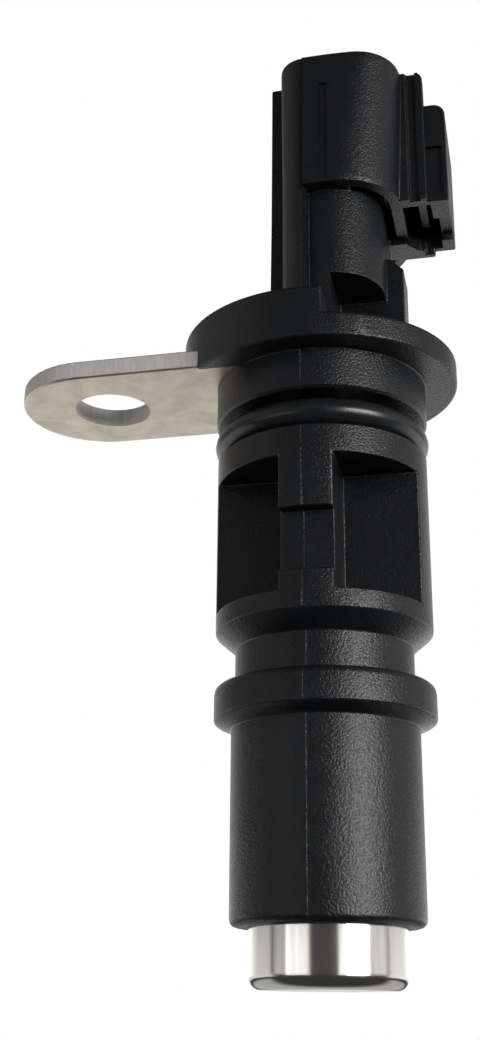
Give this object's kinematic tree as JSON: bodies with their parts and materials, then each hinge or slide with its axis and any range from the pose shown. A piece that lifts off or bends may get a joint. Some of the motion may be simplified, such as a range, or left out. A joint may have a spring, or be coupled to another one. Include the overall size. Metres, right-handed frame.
{
  "type": "camshaft position sensor",
  "caption": "Flange-mounted Hall-effect camshaft position sensor with a sealed barrel, metal sensing tip, steel fixing bracket and an upright plug connector.",
  "frame": {"origin": "on the barrel's axis, in the plane of the flange's underside", "axes": "+Z along the barrel's axis out of the connector's mouth, -X along the bracket towards its bolt hole, +Y across the bracket"},
  "size_m": [0.0405, 0.0232, 0.0811],
  "materials": {
    "housing_plastic": "satin, fine moulded grain",
    "bracket_steel": "plain stamped steel, faintly stained",
    "seal_rubber": "smooth, slightly oiled",
    "cap_steel": "bright drawn stainless steel",
    "carrier_plastic": "matt",
    "chip_body": "matt moulded resin",
    "magnet": "sintered, ground",
    "pole_steel": "ground",
    "potting_resin": "cured resin",
    "terminal_metal": "tin-plated strip",
    "lead_metal": "tin-plated leads",
    "capacitor_ceramic": "matt ceramic"
  },
  "bodies": {
    "root": {"housing": "housing_plastic", "mounting_bracket": "bracket_steel", "o_ring": "seal_rubber", "tip_cap": "cap_steel", "carrier": "carrier_plastic", "hall_chip": "chip_body", "bias_magnet": "magnet", "pole_piece": "pole_steel", "cap_potting": "potting_resin", "terminal_supply": "terminal_metal", "terminal_signal": "terminal_metal", "terminal_ground": "terminal_metal", "chip_lead_supply": "lead_metal", "chip_lead_signal": "lead_metal", "chip_lead_ground": "lead_metal", "capacitor_supply": "capacitor_ceramic", "capacitor_signal": "capacitor_ceramic"}
  },
  "joints": []
}
